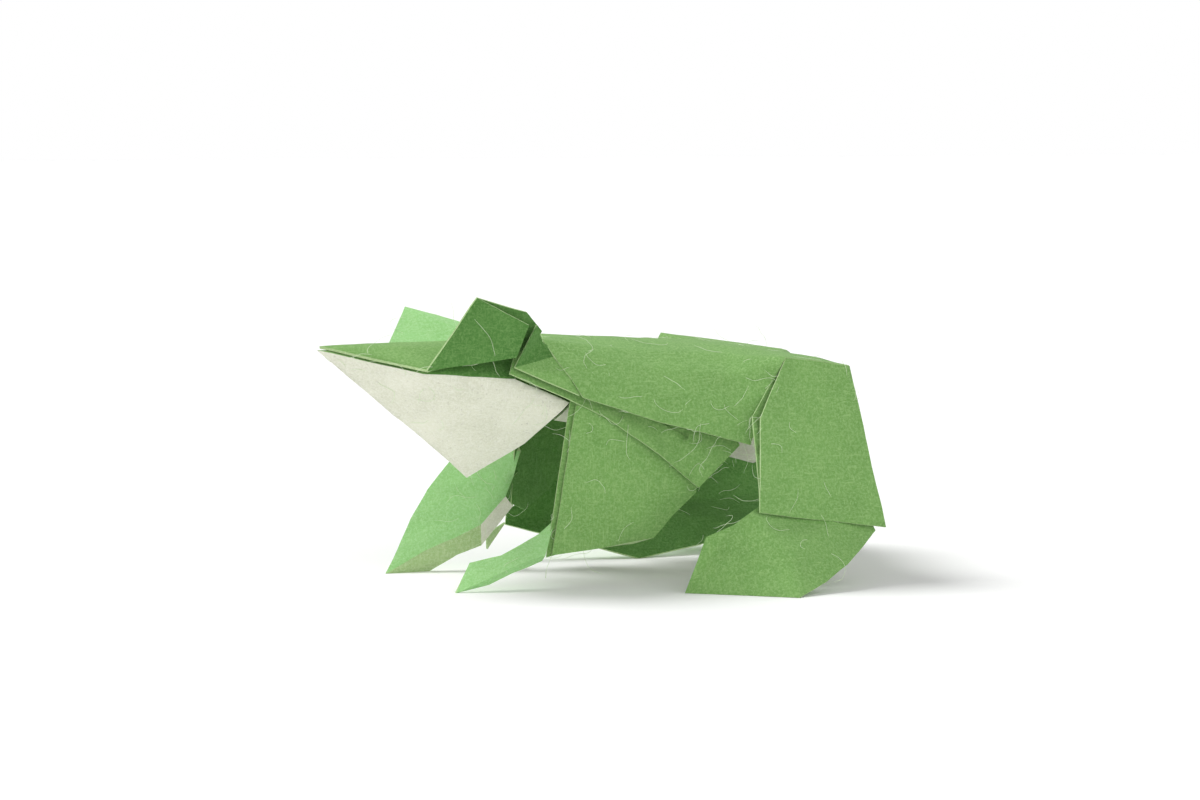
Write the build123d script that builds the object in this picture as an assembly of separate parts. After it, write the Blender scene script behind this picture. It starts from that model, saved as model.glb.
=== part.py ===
from build123d import *
import os

# An origami frog folded from one square sheet: green on one face, cream on the other.
# Millimetres, +Z up. The frog faces -X, so its left side is -Y. The origin is at the
# middle of the bounding box, on the surface that the four feet stand on.

# ---- driving dimensions -------------------------------------------------------------
ply = 0.28                  # a flap of doubled paper
nip = 0.42                  # step between the middles of two flaps that lie on each other

# lengths along the frog, each from the collar behind the eyes
head_length = 21.2          # collar forward to the nose
nose_lead = 34.0            # nose ahead of the middle of the frog
mouth_reach = 10.5          # collar forward to the corners of the mouth
jaw_reach = 2.2             # collar forward to the tip of the chin
neck_length = 8.6           # collar back to the front of the back panel
shoulder_length = 17.6      # collar back to the middle of the back
saddle_length = 28.4        # collar back to the rear corners of the back panel
hip_length = 33.4           # collar back to the front of the thighs
rump_length = 42.3          # collar back to the end of the rump

# heights above the ground
back_height = 30.1          # top of the back, just behind the head
waist_height = 29.6         # top of the back at its middle
saddle_height = 28.9        # top of the back where the hips begin
rump_height = 26.8          # top of the rump
snout_height = 29.5         # ridge of the snout
mouth_height = 26.8         # corners of the mouth
chin_height = 13.1          # tip of the chin
belly_height = 19.6         # belly behind the throat
knee_height = 8.0           # lower edge of the thighs

# half widths, from the middle plane outwards
mouth_width = 8.0
collar_width = 9.0
shoulder_width = 11.0
waist_width = 13.5
saddle_width = 16.5
hip_width = 16.0
knee_width = 22.0

# limbs
eye_height = 8.8            # eye flap above the corner of the mouth
eye_length = 6.6            # top edge of the eye flap, front to back
arm_length = 18.0           # shoulder down to the elbow
arm_width = 17.4            # widest part of the upper arm, front to back
forefoot_length = 12.2      # elbow forward to the toe
shank_width = 14.3          # front of the hind foot to its heel
shank_height = 6.8          # height of the hind foot at its front edge

LEFT, RIGHT = -1, 1

# ---- places worked out from them ----------------------------------------------------
collar_x = head_length - nose_lead
nose_x = collar_x - head_length
mouth_x = collar_x - mouth_reach
chin_x = collar_x - jaw_reach
neck_x = collar_x + neck_length
shoulder_x = collar_x + shoulder_length
saddle_x = collar_x + saddle_length
hip_x = collar_x + hip_length
rump_x = collar_x + rump_length


def newell(corners):
    """Unit normal of a panel from its corners in order."""
    total = Vector(0, 0, 0)
    for here, there in zip(corners, corners[1:] + corners[:1]):
        total += here.cross(there)
    return total.normalized()


def sheet(panels, points, thickness=ply):
    """Closed solid of panels that share creases, half the thickness to each side."""
    place = {name: Vector(*points[name]) for panel in panels for name in panel}
    normals = {name: [] for name in place}
    for panel in panels:
        normal = newell([place[name] for name in panel])
        for name in panel:
            normals[name].append(normal)

    offset = {}
    for name, around in normals.items():
        middle = sum(around, Vector(0, 0, 0)).normalized()
        spread = sum(middle.dot(normal) for normal in around) / len(around)
        offset[name] = middle * (thickness / 2 / spread)

    upper = {name: place[name] + offset[name] for name in place}
    lower = {name: place[name] - offset[name] for name in place}
    triangles = [(panel[0], second, third)
                 for panel in panels for second, third in zip(panel[1:], panel[2:])]
    sides = {(start, end) for panel in panels
             for start, end in zip(panel, panel[1:] + panel[:1])}
    rim = [side for side in sides if side[::-1] not in sides]

    def facet(*corners):
        return Face(Wire.make_polygon(corners, close=True))

    skin = [facet(*(upper[name] for name in triangle)) for triangle in triangles]
    skin += [facet(*(lower[name] for name in triangle[::-1])) for triangle in triangles]
    for start, end in sorted(rim):
        skin.append(facet(lower[start], lower[end], upper[end]))
        skin.append(facet(lower[start], upper[end], upper[start]))
    return Solid(Shell(skin))


# ---- corners of the folded sheet ----------------------------------------------------
# Each function gives one region's corners on one side. The frog was shaped by hand, so
# its two sides differ a little: the left eye stands up and the right eye leans out, the
# left hind foot is turned out and the right one is drawn in under the body.

# front corner of each thigh: steps along X and up, then how far its rear edge is set back
hip_pose = {LEFT: (0.0, 0.0, 0.0), RIGHT: (-1.8, 1.1, 5.3)}


def head_corners(side):
    """Snout, both layers of the eye flap, and the jaw."""
    lean, drop = {LEFT: (2.5, 0.0), RIGHT: (6.0, 2.5)}[side]
    eye_z = mouth_height + eye_height
    eye_y = mouth_width + lean
    eye_x = mouth_x + 5.4
    return {
        "nose": (nose_x, 0, snout_height),
        "brow": (collar_x + 2.0, 0, snout_height + 0.3),
        "mouth": (mouth_x, side * mouth_width, mouth_height),
        "eye_root": (collar_x + 3.4, side * (mouth_width - 1.6), snout_height - 0.4),
        "nape": (neck_x + 0.6, 0, back_height - nip),
        "nape_side": (neck_x - 1.4, side * (collar_width - 2.6), back_height - 2.0 * nip),
        "eye_tip": (eye_x, side * eye_y, eye_z - drop),
        "eye_back": (eye_x + eye_length + 0.3, side * (eye_y - 1.3), eye_z - 2.0 - drop),
        "eye_tuck": (collar_x + 4.3, side * (collar_width - 1.0), eye_z - 4.4 - drop / 2),
        "eye_rim": (eye_x + eye_length, side * (eye_y + 0.2), eye_z - 3.4 - drop),
        "eye_low": (collar_x + 0.4, side * (collar_width + 0.7), mouth_height + 1.5),
        "eye_fold": (mouth_x + 5.2, side * (mouth_width + 0.2), mouth_height + 0.8),
    }


def jaw_corners(side):
    """Cream keel of the jaw and the strip that turns up under the eye."""
    return {
        "nose_low": (nose_x, 0, snout_height - nip),
        "chin": (chin_x, 0, chin_height),
        "jaw_corner": (mouth_x - 0.2, side * (mouth_width - 0.6), mouth_height - nip),
        "jaw_top": (collar_x + 0.8, side * mouth_width, mouth_height - 1.2),
        "jaw_rear": (collar_x + 7.9, side * mouth_width, mouth_height - 4.4),
        "throat": (collar_x + 7.0, side * mouth_width, mouth_height - 5.3),
        "gullet": (collar_x + 3.7, side * (mouth_width - 4.0), chin_height + 4.1),
        "lip_front": (mouth_x + 1.4, side * (mouth_width - 3.0), mouth_height + 1.1),
        "lip_rear": (collar_x + 1.3, side * (mouth_width - 1.8), snout_height - 1.1),
    }


def collar_corners(side):
    """Short panel between the eye and the back, and the long flap below it."""
    return {
        "collar_top": (collar_x + 2.8, side * (collar_width + 0.9), back_height + 2.0),
        "collar_low": (collar_x + 0.1, side * (collar_width + 0.8), mouth_height + 0.3),
        "collar_end": (neck_x - 0.5, side * (shoulder_width - 0.4), mouth_height - 3.4),
        "collar_in": (neck_x + 1.7, side * (shoulder_width - 0.9), mouth_height - 1.8),
        "collar_over": (neck_x - 1.8, side * (shoulder_width - 3.0), back_height - 1.9),
        "collar_inner": (neck_x - 4.0, side * (collar_width - 1.6), back_height - 0.3),
        "flap_front": (collar_x - 0.4, side * (collar_width + 0.4), mouth_height - 0.45),
        "flap_up": (collar_x + 0.9, side * (collar_width - 0.9), back_height - 1.2),
        "flap_1": (collar_x + 8.4, side * (collar_width + 0.8), mouth_height - 4.5),
        "flap_2": (collar_x + 11.8, side * (collar_width + 1.8), mouth_height - 6.2),
        "flap_3": (shoulder_x + 0.4, side * (waist_width - 0.7), mouth_height - 10.8),
        "flap_tip": (shoulder_x + 5.1, side * (waist_width + 0.3), mouth_height - 15.0),
        "flap_rear": (saddle_x - 0.3, side * (saddle_width - 2.3), mouth_height - 9.9),
        "flap_in": (saddle_x - 1.6, side * (saddle_width - 3.7), mouth_height - 5.3),
        "flap_mid": (shoulder_x - 2.8, side * (collar_width + 0.2), mouth_height - 1.8),
    }


def back_corners(side):
    """The back panel, row by row from the middle plane out to its lower edge."""
    peak_x, peak_z, rear_step = hip_pose[side]
    return {
        "neck_0": (neck_x - 1.0, 0, back_height),
        "neck_1": (neck_x - 2.4, side * 4.0, back_height - 0.1),
        "neck_2": (neck_x - 3.8, side * (collar_width - 2.0), back_height - 0.1),
        "neck_3": (neck_x - 2.7, side * collar_width, back_height - 2.5),
        "neck_4": (neck_x - 1.4, side * (shoulder_width - 0.6), back_height - 4.6),
        "neck_5": (neck_x - 0.2, side * (shoulder_width + 0.1), back_height - 6.9),
        "waist_0": (shoulder_x, 0, waist_height),
        "waist_1": (shoulder_x, side * waist_width * 0.3, waist_height - 0.3),
        "waist_2": (shoulder_x, side * waist_width * 0.56, waist_height - 1.2),
        "waist_3": (shoulder_x, side * waist_width * 0.77, waist_height - 3.3),
        "waist_4": (shoulder_x, side * waist_width * 0.92, waist_height - 6.0),
        "waist_5": (shoulder_x, side * waist_width, waist_height - 9.4),
        "saddle_0": (saddle_x, 0, saddle_height),
        "saddle_1": (saddle_x, side * saddle_width * 0.3, saddle_height - 0.2),
        "saddle_2": (saddle_x, side * saddle_width * 0.58, saddle_height - 1.1),
        "saddle_3": (saddle_x, side * saddle_width * 0.79, saddle_height - 3.4),
        "saddle_4": (saddle_x, side * saddle_width * 0.92, saddle_height - 7.1),
        "saddle_5": (saddle_x, side * saddle_width, saddle_height - 11.7),
        "hip_0": (hip_x, 0, saddle_height - 0.7),
        "hip_1": (hip_x, side * hip_width * 0.33, saddle_height - 0.7),
        "hip_2": (hip_x, side * hip_width * 0.66, saddle_height - 0.9),
        "hip_3": (hip_x + peak_x, side * hip_width, saddle_height - 1.3 + peak_z),
        "hip_4": (hip_x - 2.0, side * (hip_width - 0.2), saddle_height - 5.0),
        "hip_5": (saddle_x + 1.4, side * (saddle_width - 0.1), saddle_height - 8.5),
        "rump_0": (rump_x, 0, rump_height),
        "rump_1": (rump_x + rear_step * 0.4, side * hip_width * 0.33, rump_height),
        "rump_2": (rump_x + rear_step * 0.7, side * hip_width * 0.66, rump_height - 0.2),
        "rump_3": (rump_x + rear_step, side * hip_width, rump_height - 0.5),
    }


def belly_corners(side):
    """Cream underside, a shallow keel from the throat to the tail."""
    return {
        "keel_0": (neck_x + 0.8, 0, belly_height),
        "keel_1": (shoulder_x + 5.0, 0, belly_height - 2.2),
        "keel_2": (hip_x + 3.6, 0, belly_height - 6.6),
        "tail": (rump_x - 1.0, 0, belly_height - 5.0),
        "side_0": (neck_x, side * (collar_width - 0.4), mouth_height - 4.1),
        "side_1": (shoulder_x, side * (waist_width - 2.2), mouth_height - 4.8),
        "side_2": (saddle_x, side * (saddle_width - 2.6), mouth_height - 8.0),
        "side_3": (rump_x - 0.6, side * (hip_width - 0.4), mouth_height - 6.0),
        "seat_0": (rump_x, 0, rump_height),
        "seat_3": (rump_x + hip_pose[side][2], side * hip_width, rump_height - 0.5),
    }


def thigh_corners(side):
    """Both layers of the thigh, folded at its rear edge."""
    peak_x, peak_z, rear_step = hip_pose[side]
    return {
        "thigh_front": (hip_x + peak_x, side * hip_width, saddle_height - 1.3 + peak_z),
        "thigh_bulge": (saddle_x + 0.5, side * (hip_width + 2.1), saddle_height - 8.3),
        "knee": (saddle_x - 1.5, side * knee_width, knee_height + 1.5),
        "hock": (rump_x + 1.9 + rear_step, side * knee_width, knee_height - 1.2),
        "thigh_rear": (rump_x + rear_step, side * hip_width, rump_height - 0.5),
        "lining_front": (hip_x - 0.4 + peak_x, side * (hip_width - 0.8),
                         saddle_height - 2.4 + peak_z),
        "lining_bulge": (saddle_x + 0.1, side * (hip_width + 0.8), saddle_height - 8.2),
        "lining_knee": (saddle_x - 0.8, side * (knee_width - 1.3), knee_height + 2.0),
        "lining_hock": (rump_x + 1.3 + rear_step, side * (knee_width - 0.9), knee_height),
        "lining_rear": (rump_x - 0.2 + rear_step, side * (hip_width - 0.3), rump_height - 1.6),
    }


def left_arm_corners():
    """Left foreleg: two layers of upper arm, then the narrow forefoot."""
    elbow_x, elbow_y, elbow_z = neck_x - 3.6, -collar_width - 0.5, mouth_height - 4.7 - arm_length
    rear_x = elbow_x + arm_width
    toe_x = elbow_x - forefoot_length
    return {
        "arm_top": (elbow_x + 3.6, elbow_y + 0.2, elbow_z + 20.0),
        "elbow": (elbow_x, elbow_y, elbow_z),
        "arm_under": (elbow_x + 5.8, elbow_y - 1.6, elbow_z + 0.7),
        "arm_back": (rear_x + 0.5, elbow_y - 3.5, elbow_z + 9.3),
        "arm_rear": (rear_x - 0.6, elbow_y - 2.9, elbow_z + 14.0),
        "arm_mid": (elbow_x + 9.0, elbow_y - 0.8, elbow_z + 18.5),
        "turn_1": (elbow_x + 10.2, elbow_y - 1.0, elbow_z + 0.9),
        "turn_2": (elbow_x + 12.9, elbow_y - 1.5, elbow_z + 1.6),
        "turn_3": (elbow_x + 15.0, elbow_y - 2.2, elbow_z + 4.2),
        "turn_4": (elbow_x + 18.0, elbow_y - 2.9, elbow_z + 7.0),
        "inner_top": (elbow_x + 3.0, elbow_y + 1.0, elbow_z + 19.6),
        "inner_elbow": (elbow_x - 0.5, elbow_y + 0.6, elbow_z - 0.3),
        "inner_under": (elbow_x + 6.0, elbow_y - 0.6, elbow_z + 1.3),
        "inner_rear": (rear_x - 2.0, elbow_y - 1.9, elbow_z + 8.5),
        "inner_mid": (elbow_x + 9.0, elbow_y + 0.1, elbow_z + 18.0),
        "toe": (toe_x, elbow_y + 1.0, 0.0),
        "toe_up": (toe_x + 2.4, elbow_y + 2.4, 3.2),
        "foot_up_1": (toe_x + 6.5, elbow_y + 2.5, 3.8),
        "foot_up_2": (toe_x + 11.3, elbow_y + 1.9, 6.3),
        "ankle": (elbow_x + 0.8, elbow_y + 0.8, elbow_z + 4.2),
        "foot_fold_1": (toe_x + 3.9, elbow_y + 0.2, 1.5),
        "foot_fold_2": (toe_x + 8.1, elbow_y - 0.1, 3.3),
        "foot_fold_3": (toe_x + 11.3, elbow_y - 0.1, 4.2),
        "foot_low_1": (toe_x + 4.3, elbow_y + 1.0, 0.8),
        "foot_low_2": (toe_x + 7.4, elbow_y + 0.9, 2.1),
        "foot_low_3": (toe_x + 11.2, elbow_y + 0.8, 3.5),
    }


def right_arm_corners():
    """Right foreleg: turned so that its broad front face looks forward."""
    elbow_x, elbow_y, elbow_z = neck_x - 2.4, collar_width - 0.6, mouth_height - 2.2 - arm_length
    toe_x = elbow_x - forefoot_length - 3.2
    return {
        "toe": (toe_x, elbow_y + 2.0, 0.0),
        "palm_1": (toe_x + 2.0, elbow_y + 2.8, 3.0),
        "palm_2": (toe_x + 4.1, elbow_y + 3.8, 6.6),
        "palm_3": (toe_x + 6.6, elbow_y + 4.4, 10.0),
        "palm_4": (toe_x + 9.4, elbow_y + 4.6, 13.1),
        "palm_5": (neck_x - 1.6, elbow_y + 3.6, mouth_height - 5.0),
        "wrist_5": (elbow_x + 1.9, elbow_y - 0.4, elbow_z + 8.4),
        "wrist_4": (elbow_x + 0.9, elbow_y - 0.4, elbow_z + 5.0),
        "wrist_3": (elbow_x - 0.2, elbow_y - 0.4, elbow_z + 2.6),
        "wrist_2": (elbow_x - 3.4, elbow_y + 0.1, elbow_z - 0.8),
        "wrist_1": (elbow_x - 6.6, elbow_y + 0.8, elbow_z - 2.4),
        "wrist_0": (elbow_x - 10.4, elbow_y + 1.6, elbow_z - 3.9),
        "sole_5": (elbow_x + 2.3, elbow_y + 0.6, elbow_z + 6.0),
        "sole_4": (elbow_x + 1.2, elbow_y + 0.7, elbow_z + 1.2),
        "sole_2": (elbow_x - 3.0, elbow_y + 0.9, elbow_z - 3.5),
        "sole_1": (elbow_x - 6.0, elbow_y + 1.4, elbow_z - 4.6),
        "sole_0": (elbow_x - 9.6, elbow_y + 2.0, 0.0),
        "arm_top": (neck_x - 1.0, elbow_y - 0.6, mouth_height - 4.2),
        "arm_mid": (neck_x + 8.0, elbow_y + 1.0, mouth_height - 5.0),
        "arm_rear": (neck_x + 6.6, elbow_y + 2.4, elbow_z + 6.4),
        "arm_back": (neck_x + 4.6, elbow_y + 2.6, elbow_z + 3.0),
        "arm_under": (neck_x + 0.6, elbow_y + 1.0, elbow_z + 0.6),
        "arm_front": (elbow_x + 0.8, elbow_y + 0.1, elbow_z + 1.6),
        "spur_tip": (elbow_x + 0.6, elbow_y + 1.6, elbow_z - 1.0),
        "spur_low": (elbow_x - 1.8, elbow_y + 1.8, elbow_z - 4.2),
        "spur_in": (elbow_x - 2.2, elbow_y + 1.0, elbow_z - 2.2),
    }


def left_foot_corners():
    """Left hind foot: a folded strip that comes down from between the thigh's layers."""
    toe_x, toe_y = saddle_x - 10.5, -knee_width + 2.0
    heel_x, heel_y = toe_x + shank_width * 0.75, toe_y - shank_width * 0.63
    return {
        "toe": (toe_x, toe_y, 0.0),
        "sole": ((toe_x + heel_x) / 2, (toe_y + heel_y) / 2 + 0.2, 0.0),
        "heel": (heel_x, heel_y, 0.0),
        "toe_up": (toe_x + 2.6, toe_y - 0.5, shank_height),
        "front_2": (toe_x + 6.1, toe_y - 1.1, shank_height + 1.3),
        "front_3": (toe_x + 8.4, toe_y - 0.9, shank_height + 2.6),
        "tuck_1": (toe_x + 12.4, toe_y - 0.1, shank_height + 4.8),
        "tuck_2": (rump_x - 0.5, toe_y + 0.7, shank_height + 3.2),
        "heel_fold": (heel_x + 0.7, heel_y + 3.4, shank_height - 2.2),
        "rear_1": (heel_x + 4.9, heel_y + 2.1, 1.4),
        "rear_2": (heel_x + 8.5, heel_y + 3.7, 3.0),
        "rear_3": (rump_x + 0.8, toe_y - 1.3, shank_height - 0.5),
    }


def right_foot_corners():
    """Right hind foot: drawn in under the body, heel down and toe raised."""
    heel_x, heel_y = saddle_x - 2.8, hip_width - 6.0
    toe_x, toe_y = heel_x - shank_width - 2.0, heel_y + 6.0
    return {
        "toe": (toe_x, toe_y, 4.6),
        "heel": (heel_x, heel_y, 0.0),
        "toe_up": (toe_x + 0.2, toe_y, shank_height - 0.5),
        "front_2": (toe_x + 8.0, toe_y + 0.4, shank_height + 4.6),
        "tuck_1": (saddle_x + 1.2, knee_width - 1.5, shank_height + 4.8),
        "tuck_2": (rump_x + 5.3, knee_width - 1.2, shank_height + 3.2),
        "heel_fold": (heel_x + 1.6, heel_y + 4.6, shank_height - 1.0),
        "rear_1": (heel_x + 9.2, heel_y + 0.8, 1.3),
        "rear_2": (heel_x + 17.8, heel_y + 2.6, 3.4),
        "rear_3": (rump_x + 6.2, knee_width - 3.0, shank_height - 0.3),
    }


# ---- panels between those corners ---------------------------------------------------
ROWS = range(5)


def both_sides(corners_of, panels, shared):
    """One sheet from a panel list and its mirror image, joined at the shared corners."""
    points, outline = {}, []
    for side, tag in ((LEFT, "L_"), (RIGHT, "R_")):
        def named(name):
            return name if name in shared else tag + name
        points.update({named(name): place for name, place in corners_of(side).items()})
        for panel in panels:
            names = tuple(named(name) for name in panel)
            outline.append(names if side == LEFT else names[::-1])
    return sheet(outline, points)


def each_side(corners_of, panels):
    """The same sheet made once for each side."""
    return [sheet(panels, corners_of(side)) for side in (LEFT, RIGHT)]


def head():
    crown = both_sides(head_corners, [
        ("nose", "mouth", "eye_root", "brow"),
        ("brow", "eye_root", "nape_side", "nape"),
        ("mouth", "eye_tip", "eye_back", "eye_tuck", "eye_root"),
    ], shared=("nose", "brow", "nape"))
    eye_fronts = each_side(head_corners, [
        ("mouth", "eye_fold", "eye_low", "eye_rim", "eye_tip"),
    ])
    jaw = both_sides(jaw_corners, [
        ("nose_low", "chin", "jaw_corner"),
        ("jaw_corner", "chin", "gullet", "throat", "jaw_rear", "jaw_top"),
        ("nose_low", "jaw_corner", "lip_front"),
        ("jaw_corner", "jaw_top", "lip_rear", "lip_front"),
    ], shared=("nose_low", "chin"))
    return [crown, *eye_fronts, jaw]


def trunk():
    strips = [(f"{front}_{row}", f"{front}_{row + 1}", f"{rear}_{row + 1}", f"{rear}_{row}")
              for front, rear in (("neck", "waist"), ("waist", "saddle"), ("saddle", "hip"))
              for row in ROWS]
    strips += [(f"hip_{row}", f"hip_{row + 1}", f"rump_{row + 1}", f"rump_{row}")
               for row in range(3)]
    middle = ("neck_0", "waist_0", "saddle_0", "hip_0", "rump_0")
    back = both_sides(back_corners, strips, shared=middle)
    collars = each_side(collar_corners, [
        ("collar_low", "collar_end", "collar_in", "collar_over", "collar_inner", "collar_top"),
    ])
    flaps = each_side(collar_corners, [
        ("flap_up", "flap_front", "flap_1", "flap_mid"),
        ("flap_mid", "flap_1", "flap_2", "flap_3"),
        ("flap_mid", "flap_3", "flap_tip", "flap_rear", "flap_in"),
    ])
    belly = both_sides(belly_corners, [
        ("keel_0", "side_0", "side_1", "keel_1"),
        ("keel_1", "side_1", "side_2", "keel_2"),
        ("keel_2", "side_2", "side_3", "tail"),
    ], shared=("keel_0", "keel_1", "keel_2", "tail"))
    seat = both_sides(belly_corners, [
        ("tail", "side_3", "seat_3", "seat_0"),
    ], shared=("tail", "seat_0"))
    return [back, *collars, *flaps, belly, seat]


def thighs():
    outer = each_side(thigh_corners, [
        ("thigh_front", "thigh_bulge", "knee", "hock", "thigh_rear"),
    ])
    lining = each_side(thigh_corners, [
        ("lining_front", "lining_bulge", "lining_knee", "lining_hock", "lining_rear"),
    ])
    return outer + lining


def forelegs():
    left = left_arm_corners()
    right = right_arm_corners()
    return [
        sheet([("arm_top", "elbow", "arm_under", "arm_back", "arm_rear", "arm_mid"),
               ("arm_under", "turn_1", "turn_2", "turn_3", "turn_4", "arm_back")], left),
        sheet([("inner_top", "inner_elbow", "inner_under", "inner_rear", "inner_mid")], left),
        sheet([("toe_up", "toe", "foot_fold_1", "foot_up_1"),
               ("foot_up_1", "foot_fold_1", "foot_fold_2", "foot_up_2"),
               ("foot_up_2", "foot_fold_2", "foot_fold_3", "ankle"),
               ("toe", "foot_low_1", "foot_fold_1"),
               ("foot_fold_1", "foot_low_1", "foot_low_2", "foot_fold_2"),
               ("foot_fold_2", "foot_low_2", "foot_low_3", "foot_fold_3")], left),
        sheet([("palm_1", "toe", "wrist_0", "wrist_1"),
               ("palm_1", "wrist_1", "wrist_2", "palm_2"),
               ("palm_2", "wrist_2", "wrist_3", "palm_3"),
               ("palm_3", "wrist_3", "wrist_4", "palm_4"),
               ("palm_4", "wrist_4", "wrist_5", "palm_5"),
               ("toe", "sole_0", "wrist_0"),
               ("wrist_0", "sole_0", "sole_1", "wrist_1"),
               ("wrist_1", "sole_1", "sole_2", "wrist_2"),
               ("wrist_2", "sole_2", "sole_4", "wrist_3"),
               ("wrist_3", "sole_4", "sole_5", "wrist_4")], right),
        sheet([("arm_top", "arm_front", "arm_under", "arm_back", "arm_rear", "arm_mid")], right),
        sheet([("spur_in", "spur_low", "spur_tip")], right),
    ]


def hind_feet():
    left = left_foot_corners()
    right = right_foot_corners()
    return [
        sheet([("toe", "sole", "front_2", "toe_up"),
               ("sole", "heel", "heel_fold", "front_3", "front_2"),
               ("front_3", "heel_fold", "tuck_2", "tuck_1"),
               ("heel_fold", "heel", "rear_1", "rear_2", "rear_3", "tuck_2")], left),
        sheet([("toe", "toe_up", "front_2", "heel_fold"),
               ("toe", "heel_fold", "heel"),
               ("front_2", "tuck_1", "heel_fold"),
               ("heel_fold", "tuck_1", "tuck_2"),
               ("heel_fold", "tuck_2", "rear_3", "rear_2", "rear_1", "heel")], right),
    ]


def folded_sheet():
    """Every panel fused into one folded sheet, trimmed where its feet stand."""
    flaps = head() + trunk() + thighs() + forelegs() + hind_feet()
    frog = flaps[0].fuse(*flaps[1:])
    room = 4 * rump_x
    ground = Pos(0, 0, -room / 2) * Box(room, room, room)
    frog = frog.cut(ground)
    bounds = frog.bounding_box()
    return Pos(-bounds.center().X, -bounds.center().Y, -bounds.min.Z) * frog


os.makedirs("parts", exist_ok=True)
frog = folded_sheet()
export_step(frog, "parts/folded_sheet.step")
print(len(frog.solids()), "solid", round(frog.volume, 1), "mm3", frog.bounding_box())
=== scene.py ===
import math
import random

import bmesh
import bpy
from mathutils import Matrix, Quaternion, Vector, noise

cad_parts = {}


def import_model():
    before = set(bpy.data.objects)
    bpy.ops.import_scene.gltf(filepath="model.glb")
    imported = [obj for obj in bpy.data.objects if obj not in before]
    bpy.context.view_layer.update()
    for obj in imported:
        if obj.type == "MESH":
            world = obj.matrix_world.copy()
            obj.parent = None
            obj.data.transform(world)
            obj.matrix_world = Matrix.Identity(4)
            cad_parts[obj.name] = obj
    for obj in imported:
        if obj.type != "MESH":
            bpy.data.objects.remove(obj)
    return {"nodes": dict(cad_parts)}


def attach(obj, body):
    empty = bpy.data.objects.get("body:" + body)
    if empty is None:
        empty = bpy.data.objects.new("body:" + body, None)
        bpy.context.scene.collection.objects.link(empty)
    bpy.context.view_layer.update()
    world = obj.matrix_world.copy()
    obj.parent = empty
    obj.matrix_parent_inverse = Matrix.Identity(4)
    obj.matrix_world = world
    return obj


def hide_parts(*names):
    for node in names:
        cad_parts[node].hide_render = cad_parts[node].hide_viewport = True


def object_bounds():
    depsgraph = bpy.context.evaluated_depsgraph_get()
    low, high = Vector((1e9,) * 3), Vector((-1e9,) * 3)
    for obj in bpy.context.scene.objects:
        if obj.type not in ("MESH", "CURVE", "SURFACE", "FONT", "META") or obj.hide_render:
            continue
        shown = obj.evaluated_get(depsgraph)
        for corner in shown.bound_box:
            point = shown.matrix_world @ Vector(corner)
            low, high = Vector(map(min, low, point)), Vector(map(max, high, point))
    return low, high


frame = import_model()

# ---- sizes, in metres ----------------------------------------------------------------
MM = 0.001
NODE = "folded_sheet"
CAD_LOW, CAD_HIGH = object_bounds()
SPAN = CAD_HIGH - CAD_LOW
GRID = 1.15 * MM            # mesh spacing that paper's small waves need
WAVE = 0.16 * MM            # how far the paper waves from flat
BROAD, FINE = 130.0, 420.0  # how tightly the broad and the fine waves are packed
FINE_SHARE = 0.35           # size of the fine waves beside the broad ones
GROUND_RISE = 2 * MM        # height over which the waves grow, so that the feet stay flat
RIM_WIDTH = 0.36 * MM       # faces narrower than this are cut or folded edges
SAME_PLACE = 0.001 * MM     # corners nearer than this are one corner
SAME_PLANE = math.radians(0.05)
SHARP = math.radians(24)    # folds sharper than this keep a crisp edge
LONGEST_EDGE = GRID * 1.6
MOST_CUTS = 7
SEED = 7
ANY = math.inf              # an open end of a range


def linear(*rgb):
    """Screen colour, 0 to 255, as the shader's linear colour."""
    dark, offset, power = 10, 0.055, 2.4
    shares = ((c / 255 / 12.92) if c <= dark else ((c / 255 + offset) / (1 + offset)) ** power
              for c in rgb)
    return tuple(shares) + (1.0,)


# ---- materials -----------------------------------------------------------------------
FACTOR, FIRST, SECOND, RESULT = 0, 6, 7, 2   # the mix node's sockets when it mixes colours
CLOUD, GRAIN, SPOTS = 160.0, 3200.0, 2600.0  # noise scales, in waves for each metre
STREAKS = (                                  # turn and stretch of each family of fibres
    (0.5, (520, 5200, 5200)),
    (2.1, (4800, 480, 4800)),
    (1.2, (5000, 4600, 500)),
)
RELIEF = 0.06 * MM


class Tree:
    """A short way to add and join shader nodes."""

    def __init__(self, name):
        self.material = bpy.data.materials.new(name)
        self.material.use_nodes = True
        self.nodes = self.material.node_tree.nodes
        self.links = self.material.node_tree.links
        self.shader = self.nodes["Principled BSDF"]

    def add(self, kind, **inputs):
        node = self.nodes.new(kind)
        for name, value in inputs.items():
            self.put(node.inputs[name], value)
        return node

    def reckon(self, operation, *values):
        node = self.nodes.new("ShaderNodeMath")
        node.operation = operation
        for socket, value in zip(node.inputs, values):
            self.put(socket, value)
        return node.outputs[0]

    def put(self, socket, value):
        if isinstance(value, bpy.types.NodeSocket):
            self.links.new(value, socket)
        else:
            socket.default_value = value

    def mix(self, factor, first, second):
        node = self.nodes.new("ShaderNodeMix")
        node.data_type = "RGBA"
        self.put(node.inputs[FACTOR], factor)
        self.put(node.inputs[FIRST], first)
        self.put(node.inputs[SECOND], second)
        return node.outputs[RESULT]

    def band(self, value, low, high, out_low=0.0, out_high=1.0):
        node = self.add("ShaderNodeMapRange", Value=value)
        node.inputs["From Min"].default_value = low
        node.inputs["From Max"].default_value = high
        node.inputs["To Min"].default_value = out_low
        node.inputs["To Max"].default_value = out_high
        return node.outputs["Result"]


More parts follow.
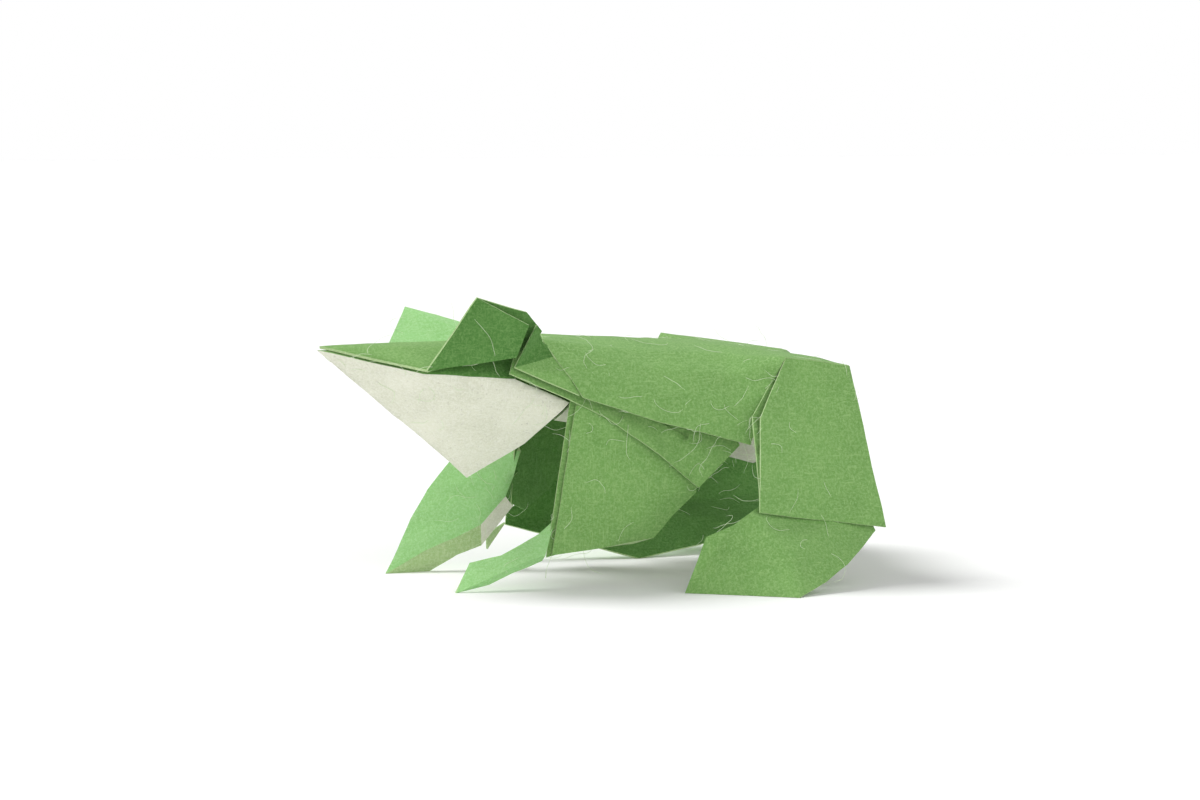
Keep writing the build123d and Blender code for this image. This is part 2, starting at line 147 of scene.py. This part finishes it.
def paper(name, deep, base, pale, fleck, fleck_share, glow):
    """Soft fibrous paper: cloudy tone, fine grain, streaky fibres and small flecks."""
    tree = Tree(name)
    place = tree.add("ShaderNodeTexCoord").outputs["Object"]
    cloud = tree.add("ShaderNodeTexNoise", Vector=place, Scale=CLOUD, Detail=5.0, Roughness=0.6)
    grain = tree.add("ShaderNodeTexNoise", Vector=place, Scale=GRAIN, Detail=4.0, Roughness=0.7)
    strands = []
    for turn, stretch in STREAKS:
        spun = tree.add("ShaderNodeMapping", Vector=place)
        spun.inputs["Rotation"].default_value = (turn, turn * 0.7, turn * 1.3)
        spun.inputs["Scale"].default_value = stretch
        strand = tree.add("ShaderNodeTexNoise", Vector=spun.outputs[0], Scale=1.0, Detail=2.0)
        strand.inputs["Distortion"].default_value = 1.2
        strands.append(tree.band(strand.outputs[0], 0.57, 0.71))
    fibres = tree.reckon("MAXIMUM", tree.reckon("MAXIMUM", strands[0], strands[1]), strands[2])

    tone = tree.mix(tree.band(cloud.outputs[0], 0.30, 0.66), deep, base)
    tone = tree.mix(tree.band(grain.outputs[0], 0.44, 0.66, 0.0, 0.55), tone, pale)
    tone = tree.mix(tree.band(fibres, 0.0, 1.0, 0.0, 0.62), tone, pale)
    spots = tree.add("ShaderNodeTexNoise", Vector=place, Scale=SPOTS, Detail=3.0, Roughness=0.65)
    tone = tree.mix(tree.band(spots.outputs[0], 0.60, 0.72, 0.0, fleck_share), tone, fleck)
    tree.put(tree.shader.inputs["Base Color"], tone)
    tree.shader.inputs["Roughness"].default_value = 0.86
    tree.shader.inputs["Specular IOR Level"].default_value = 0.22
    tree.shader.inputs["Sheen Weight"].default_value = glow
    tree.shader.inputs["Sheen Roughness"].default_value = 0.6

    relief = tree.reckon("MULTIPLY_ADD", fibres, 0.8, grain.outputs[0])
    bump = tree.add("ShaderNodeBump", Height=relief, Strength=0.35, Distance=RELIEF)
    tree.put(tree.shader.inputs["Normal"], bump.outputs[0])
    return tree.material


GREEN = paper(
    "green_paper_face", deep=linear(111, 157, 82), base=linear(121, 168, 90),
    pale=linear(160, 200, 128), fleck=linear(98, 144, 72), fleck_share=0.35, glow=0.06)
CREAM = paper(
    "cream_paper_face", deep=linear(214, 216, 194), base=linear(232, 233, 213),
    pale=linear(244, 245, 232), fleck=linear(176, 172, 160), fleck_share=0.40, glow=0.06)
# Pale rims: the lighter core of cut edges, with a painted highlight where folded edges catch the
# light. The same colour is the painted glow of the strip under the right forefoot.
RIM_HIGHLIGHT_AND_GLOW = paper(
    "pale_rim_painted_highlight_and_glow", deep=linear(158, 192, 126), base=linear(176, 206, 144),
    pale=linear(206, 226, 178), fleck=linear(142, 178, 112), fleck_share=0.30, glow=0.05)
FIBRE = paper(
    "loose_fibre", deep=linear(206, 230, 182), base=linear(222, 240, 200),
    pale=linear(240, 248, 226), fleck=linear(200, 222, 176), fleck_share=0.2, glow=0.1)
# Painted shade: a deeper green for faces that stand in shadow.
SHADE = paper(
    "green_paper_painted_shade", deep=linear(72, 120, 52), base=linear(82, 131, 60),
    pale=linear(118, 162, 92), fleck=linear(64, 108, 46), fleck_share=0.30, glow=0.04)
# Painted glow: a brighter green for single flaps that light comes through.
LIT = paper(
    "green_paper_painted_glow", deep=linear(150, 210, 128), base=linear(164, 222, 144),
    pale=linear(194, 236, 174), fleck=linear(140, 198, 116), fleck_share=0.30, glow=0.04)
GREEN_SLOT, CREAM_SLOT, RIM_HIGHLIGHT_AND_GLOW_SLOT, SHADE_SLOT, LIT_SLOT = range(5)


# ---- the folded sheet ----------------------------------------------------------------
# Places on the frog are given as millimetres behind the nose, out from the middle plane
# (the right side is positive) and up.
NOSE_X = CAD_LOW.x
MIDDLE_SHARE = 0.5683       # the left foot reaches out further, so the middle isn't at a half
MIDDLE_Y = CAD_LOW.y + MIDDLE_SHARE * SPAN.y

LEFT_EYE = ((9.0, 26.0), (-ANY, -7.0), (26.8, ANY))
RIGHT_EYE = ((9.0, 26.0), (6.5, ANY), (26.8, ANY))
LEFT_TOE = ((14.0, 31.0), (-13.0, -6.0), (-ANY, 7.0))
RIGHT_PALM = ((12.0, 30.5), (7.9, 14.0), (-ANY, 19.0))
UNDER_PALM = ((12.0, 27.0), (7.9, 10.9), (-ANY, 6.4))
RIGHT_ELBOW = ((24.5, 29.2), (7.8, 9.6), (3.5, 9.3))
RIGHT_ARM = ((27.0, 43.0), (6.5, 12.5), (6.0, 23.0))
RIGHT_LEG = ((30.0, ANY), (8.5, ANY), (-ANY, 22.0))
UNDER_FLANK = ((42.0, 52.0), (-ANY, 0.0), (7.0, 21.0))
FLANK = ((26.0, 46.0), (-ANY, 0.0), (14.0, 24.0))

JAW_LENGTH, JAW_SIDE = 30.0, 8.4
MOUTH_AT_NOSE, MOUTH_DROP, MOUTH_BEND, MOUTH_LEVEL = 28.95, 0.262, 11.2, 26.7
KEEL_TIP, KEEL_SLOPE = 12.4, 0.95
BELLY_START, BELLY_END, BELLY_KEEL, BELLY_DROP, BELLY_TOP = 30.4, 64.0, 19.4, 0.21, 22.9
BELLY_SIDE, BELLY_FLARE = 9.0, 0.3
LEVEL, UNDERSIDE, NEARLY_UPRIGHT = -0.05, -0.2, 0.35  # limits on how far up a face looks
LEFTWARD = -0.2             # limit on how far to the right a face looks


def on_frog(point):
    """Millimetres behind the nose, to the right of the middle plane, and up."""
    return (point.x - NOSE_X) / MM, (point.y - MIDDLE_Y) / MM, point.z / MM


def within(place, region):
    """Whether a place on the frog lies inside a region's three ranges."""
    return all(low < value < high for value, (low, high) in zip(place, region))


def shows_cream(place, normal):
    """The jaw, the belly and one small triangle at the right elbow show the reverse."""
    back, right, up = place
    side = abs(right)
    if back < JAW_LENGTH:
        mouth_line = MOUTH_AT_NOSE - back * MOUTH_DROP if back < MOUTH_BEND else MOUTH_LEVEL
        on_keel = KEEL_TIP + side * KEEL_SLOPE < up < mouth_line and side < JAW_SIDE
        elbow = within(place, RIGHT_ELBOW) and normal.y < 0
        return (on_keel and normal.z < NEARLY_UPRIGHT) or elbow
    keel_height = BELLY_KEEL - (back - BELLY_START) * BELLY_DROP
    half_width = BELLY_SIDE + (back - JAW_LENGTH) * BELLY_FLARE
    under_body = back < BELLY_END and keel_height < up < BELLY_TOP and side < half_width
    return under_body and normal.z < UNDERSIDE


def pale_strip(place, normal):
    """The strip under the right forefoot that light comes through: a painted glow in the pale rim
    colour.
    """
    return within(place, UNDER_PALM) and normal.z < LEVEL


def painted_shade_faces(place, normal):
    """Painted shade: the left eye's outer face and the inner faces of the right legs, which stand
    in shadow, get a deeper green.
    """
    eye = within(place, LEFT_EYE) and normal.y < 0
    arm = within(place, RIGHT_ARM)
    leg = within(place, RIGHT_LEG) and normal.y < LEFTWARD
    return eye or arm or leg


def light_through(place, normal):
    """Single flaps that light comes through, the right eye, the right palm and the left toe, get a
    painted glow: a brighter green.
    """
    eye = within(place, RIGHT_EYE) and normal.y < 0
    palm = within(place, RIGHT_PALM) and normal.z > LEVEL
    toe = within(place, LEFT_TOE)
    return eye or palm or toe


def surface_slot(point, normal, slim):
    """Which paper shows at a point of the sheet that faces the given way, and where painted shade,
    glow or highlight goes.
    """
    place = on_frog(point)
    # Narrow rim faces get the pale rim colour: the real cut-edge core plus a painted highlight on
    # folded edges.
    if slim:
        return RIM_HIGHLIGHT_AND_GLOW_SLOT
    if shows_cream(place, normal):
        return CREAM_SLOT
    if pale_strip(place, normal):
        return RIM_HIGHLIGHT_AND_GLOW_SLOT
    if light_through(place, normal):
        return LIT_SLOT
    return SHADE_SLOT if painted_shade_faces(place, normal) else GREEN_SLOT


def sheet_mesh():
    """A finer copy of the CAD sheet, with the small waves that folded paper has."""
    noise.seed_set(SEED)
    mesh = bmesh.new()
    mesh.from_mesh(frame["nodes"][NODE].data)
    bmesh.ops.remove_doubles(mesh, verts=mesh.verts, dist=SAME_PLACE)
    bmesh.ops.dissolve_limit(mesh, angle_limit=SAME_PLANE, verts=mesh.verts, edges=mesh.edges)
    mesh.normal_update()
    for face in mesh.faces:
        face.smooth = True
        longest = max(edge.calc_length() for edge in face.edges)
        slim = face.calc_area() < longest * RIM_WIDTH
        face.material_index = surface_slot(face.calc_center_median(), face.normal, slim)
    bmesh.ops.triangulate(mesh, faces=mesh.faces)
    for _ in range(MOST_CUTS):
        long_edges = [edge for edge in mesh.edges if edge.calc_length() > LONGEST_EDGE]
        if not long_edges:
            break
        bmesh.ops.subdivide_edges(mesh, edges=long_edges, cuts=1)
        bmesh.ops.triangulate(mesh, faces=[face for face in mesh.faces if len(face.verts) > 3])
    for vert in mesh.verts:
        wave = noise.noise_vector(vert.co * BROAD) * WAVE
        wave += noise.noise_vector(vert.co * FINE) * WAVE * FINE_SHARE
        vert.co += wave * min(1.0, vert.co.z / GROUND_RISE)
    data = bpy.data.meshes.new("paper_frog")
    mesh.to_mesh(data)
    mesh.free()
    data.validate()
    return data


def folded_sheet():
    """The frog itself, in place of the CAD sheet."""
    piece = bpy.data.objects.new("paper_frog", sheet_mesh())
    bpy.context.scene.collection.objects.link(piece)
    for material in (GREEN, CREAM, RIM_HIGHLIGHT_AND_GLOW, SHADE, LIT):
        piece.data.materials.append(material)
    piece.data.set_sharp_from_angle(angle=SHARP)
    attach(piece, "root")
    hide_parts(NODE)


folded_sheet()


# ---- loose fibres --------------------------------------------------------------------
FIBRE_RADIUS = 0.022 * MM
FIBRE_STEPS = (4, 8)
FIBRE_REACH = (0.4, 0.9)    # millimetres for each step
STRIDE = (0.6, 1.3)         # share of that reach which one step may take
BEND, WANDER = 0.5, 0.6     # steady turn and stray turn at each step, in radians
SINK = 0.3                  # how far a step may fall, as a share of its lift
LYING_LIFT, STANDING_LIFT = 0.05 * MM, 0.28 * MM
TIP_RADIUS = 0.4            # share of the radius at the fibre's end
BARE_BELOW, BARE_ABOVE = 3.0, 33.0


def add_fibre(curve, dice, start, normal, reach, lift):
    """One curling fibre that starts on the paper and rises a little from it."""
    along = normal.orthogonal().normalized()
    along.rotate(Quaternion(normal, dice.uniform(0, math.tau)))
    across = normal.cross(along)
    steps = dice.randint(*FIBRE_STEPS)
    bend = dice.uniform(-BEND, BEND)
    heading = 0.0
    point = start + normal * FIBRE_RADIUS
    spline = curve.splines.new("NURBS")
    spline.points.add(steps)
    for index in range(steps + 1):
        inside = (min(max(value, least), most)
                  for value, least, most in zip(point, CAD_LOW, CAD_HIGH))
        spline.points[index].co = (*inside, 1.0)
        spline.points[index].radius = 1.0 if index < steps else TIP_RADIUS
        heading += bend + dice.uniform(-WANDER, WANDER)
        stride = along * math.cos(heading) + across * math.sin(heading)
        point = point + stride * reach * dice.uniform(*STRIDE)
        point = point + normal * dice.uniform(-SINK * lift, lift)
    spline.order_u = 3
    spline.use_endpoint_u = True


def fuzzy(point):
    """How thickly fibres stand here: most along the left flank flap and under it."""
    place = on_frog(point)
    if place[2] < BARE_BELOW or place[2] > BARE_ABOVE:
        return 0.0
    if within(place, UNDER_FLANK):
        return 4.0
    return 2.5 if within(place, FLANK) else 1.0


def cad_triangles():
    """Corners, direction and slimness of each triangle of the CAD sheet, in its own order."""
    data = frame["nodes"][NODE].data
    data.calc_loop_triangles()
    for triangle in data.loop_triangles:
        corners = [data.vertices[index].co.copy() for index in triangle.vertices]
        longest = max((corners[0] - corners[1]).length, (corners[1] - corners[2]).length,
                      (corners[2] - corners[0]).length)
        slim = triangle.area < longest * RIM_WIDTH
        if longest > GRID:
            yield corners, triangle.normal.copy(), triangle.area, slim


def loose_fibres(lying, standing):
    """Fine pale fibres: some lie on the faces, some stand out from the folded edges."""
    dice = random.Random(SEED)
    curve = bpy.data.curves.new("loose_fibres", "CURVE")
    curve.dimensions = "3D"
    curve.resolution_u = 3
    curve.bevel_depth = FIBRE_RADIUS
    curve.bevel_resolution = 0
    triangles = list(cad_triangles())
    for wanted, count, lift in ((False, lying, LYING_LIFT), (True, standing, STANDING_LIFT)):
        group = [(corners, normal, area) for corners, normal, area, slim in triangles
                 if slim == wanted]
        weights = [area * fuzzy(sum(corners, Vector()) / 3) for corners, _, area in group]
        for corners, normal, _ in dice.choices(group, weights=weights, k=count):
            first, second = sorted((dice.random(), dice.random()))
            start = corners[0] * first + corners[1] * (second - first) + corners[2] * (1.0 - second)
            add_fibre(curve, dice, start, normal, dice.uniform(*FIBRE_REACH) * MM, lift)
    fibres = bpy.data.objects.new("loose_fibres", curve)
    bpy.context.scene.collection.objects.link(fibres)
    curve.materials.append(FIBRE)
    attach(fibres, "root")


loose_fibres(lying=420, standing=130)


# ---- floor, light and camera ---------------------------------------------------------
WHITE = (1.0, 1.0, 1.0, 1.0)
FLOOR_REACH = 4.0
BOUNCE = 0.95               # the floor's own colour for light that it throws back
SKY_AT_HORIZON, SKY_OVERHEAD = 0.74, 0.32
AZIMUTH, ELEVATION = math.radians(-24.0), math.radians(5.0)
DISTANCE = 0.400
TARGET = Vector((NOSE_X + 37.2 * MM, MIDDLE_Y, 21.8 * MM))


def floor():
    """A white sweep that keeps the frog's shadow, and throws back less light than it shows."""
    mesh = bpy.data.meshes.new("floor")
    corners = [(x * FLOOR_REACH, y * FLOOR_REACH, 0)
               for x, y in ((-1, -1), (1, -1), (1, 1), (-1, 1))]
    mesh.from_pydata(corners, [], [(0, 1, 2, 3)])
    sweep = bpy.data.objects.new("floor", mesh)
    bpy.context.scene.collection.objects.link(sweep)
    tree = Tree("white_sweep")
    seen = tree.nodes.new("ShaderNodeMixShader")
    tree.links.new(tree.add("ShaderNodeLightPath").outputs["Is Camera Ray"], seen.inputs[0])
    for socket, colour in ((1, (BOUNCE, BOUNCE, BOUNCE, 1.0)), (2, WHITE)):
        matt = tree.add("ShaderNodeBsdfDiffuse", Color=colour)
        tree.links.new(matt.outputs[0], seen.inputs[socket])
    tree.links.new(seen.outputs[0], tree.nodes["Material Output"].inputs["Surface"])
    mesh.materials.append(tree.material)


def world():
    """White to the camera, and a soft even light for everything else."""
    studio = bpy.data.worlds.new("studio")
    bpy.context.scene.world = studio
    studio.use_nodes = True
    nodes, links = studio.node_tree.nodes, studio.node_tree.links
    light = nodes["Background"]
    light.inputs["Color"].default_value = WHITE
    way = nodes.new("ShaderNodeSeparateXYZ")
    links.new(nodes.new("ShaderNodeTexCoord").outputs["Generated"], way.inputs[0])
    dome = nodes.new("ShaderNodeMapRange")
    dome.inputs["To Min"].default_value = SKY_AT_HORIZON
    dome.inputs["To Max"].default_value = SKY_OVERHEAD
    links.new(way.outputs["Z"], dome.inputs["Value"])
    links.new(dome.outputs[0], light.inputs["Strength"])
    seen = nodes.new("ShaderNodeBackground")
    seen.inputs["Color"].default_value = WHITE
    seen.inputs["Strength"].default_value = 1.0
    blend = nodes.new("ShaderNodeMixShader")
    links.new(nodes.new("ShaderNodeLightPath").outputs["Is Camera Ray"], blend.inputs[0])
    links.new(light.outputs[0], blend.inputs[1])
    links.new(seen.outputs[0], blend.inputs[2])
    links.new(blend.outputs[0], nodes["World Output"].inputs["Surface"])


def soft_light(name, toward, energy, spread):
    """A broad even light that comes from the given direction."""
    light = bpy.data.lights.new(name, "SUN")
    light.angle = math.radians(spread)
    light.energy = energy
    lamp = bpy.data.objects.new(name, light)
    bpy.context.scene.collection.objects.link(lamp)
    lamp.rotation_euler = Vector(toward).to_track_quat("Z", "Y").to_euler()


def camera():
    """A long lens, low and a little ahead of the frog's left side."""
    eye = bpy.data.objects.new("camera", bpy.data.cameras.new("camera"))
    bpy.context.scene.collection.objects.link(eye)
    outward = Vector((math.sin(AZIMUTH) * math.cos(ELEVATION),
                      -math.cos(AZIMUTH) * math.cos(ELEVATION),
                      math.sin(ELEVATION)))
    eye.location = TARGET + outward * DISTANCE
    eye.rotation_euler = outward.to_track_quat("Z", "Y").to_euler()
    eye.data.sensor_width = 36.0
    eye.data.lens = 96.0
    eye.data.clip_start = 0.01
    bpy.context.scene.camera = eye


floor()
world()
soft_light("window", toward=(-0.52, 0.50, 1.0), energy=2.1, spread=24.0)
soft_light("fill", toward=(0.25, -0.90, 0.36), energy=0.8, spread=80.0)
camera()
bpy.context.scene.view_settings.view_transform = "Standard"
